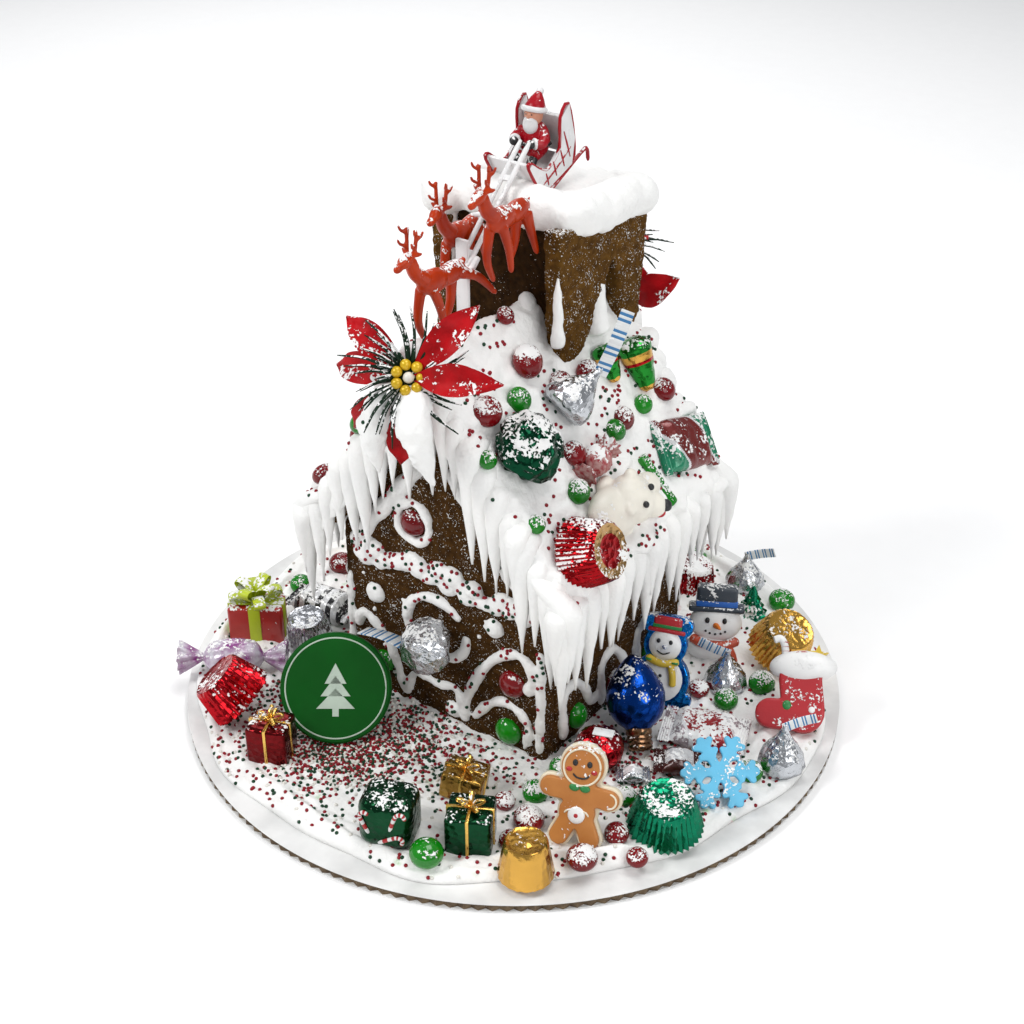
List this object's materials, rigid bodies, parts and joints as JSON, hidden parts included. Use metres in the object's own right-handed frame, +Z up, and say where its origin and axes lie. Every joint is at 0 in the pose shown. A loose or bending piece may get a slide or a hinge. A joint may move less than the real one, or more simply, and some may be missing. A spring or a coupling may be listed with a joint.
{
  "type": "gingerbread house on a cake board",
  "caption": "Iced gingerbread house with a steep roof, square chimney, sleigh figure, deer, red flowers and wrapped sweets, on a round cake board.",
  "frame": {"origin": "centre of the cake board's underside", "axes": "+Z up, the front gable faces -Y, the ridge runs along Y, the open side wall faces +X"},
  "size_m": [0.3048, 0.3048, 0.2703],
  "materials": {
    "card": "matt white card",
    "icing": "dry royal icing, slightly rough",
    "gingerbread": "dark matt crumb",
    "foil": "crumpled foil",
    "film": "printed wrapper film",
    "sugar": "pressed sugar and glaze",
    "shell": "glossy sugar shell",
    "moulded": "moulded plastic",
    "petal": "wired fabric",
    "ribbon": "wrapped box with ribbon"
  },
  "bodies": {
    "root": {"board": "card", "wall_front": "gingerbread", "wall_back": "gingerbread", "wall_right": "gingerbread", "wall_left": "gingerbread", "roof_right": "gingerbread", "roof_left": "gingerbread", "chimney_front": "gingerbread", "chimney_back": "gingerbread", "chimney_right": "gingerbread", "chimney_left": "gingerbread", "chimney_icing": "icing", "roof_icing": "icing", "ground_icing": "icing", "sleigh": "moulded", "santa": "moulded", "deer_1": "moulded", "deer_2": "moulded", "deer_3": "moulded", "poinsettia_front": "petal", "poinsettia_back": "petal", "disc_green": "shell", "gift_ribbon": "ribbon", "bar_striped": "film", "foil_cup_silver": "foil", "twist_clear": "film", "foil_cup_red": "foil", "gift_red": "ribbon", "foil_cube_green": "foil", "dragee_green": "shell", "gift_gold": "ribbon", "gift_green": "ribbon", "foil_cup_gold": "foil", "cookie_man": "sugar", "dragee_red": "shell", "dome_red": "foil", "foil_cup_mint": "foil", "bulb_blue": "foil", "wrapper_silver": "foil", "snowman_flat": "foil", "bar_dusted": "film", "bar_small": "film", "drop_right": "foil", "snowman_head": "sugar", "drop_far": "foil", "foil_tree": "foil", "foil_cup_far": "foil", "stocking": "sugar", "drop_front": "foil", "snowflake": "sugar", "foil_ball_green": "foil", "drop_roof": "foil", "bell_1": "foil", "bell_2": "foil", "bar_roof": "film", "stick_green": "shell", "sweet_sugared": "film", "bear": "sugar", "foil_cup_roof": "foil", "drop_wall": "foil"}
  },
  "joints": []
}
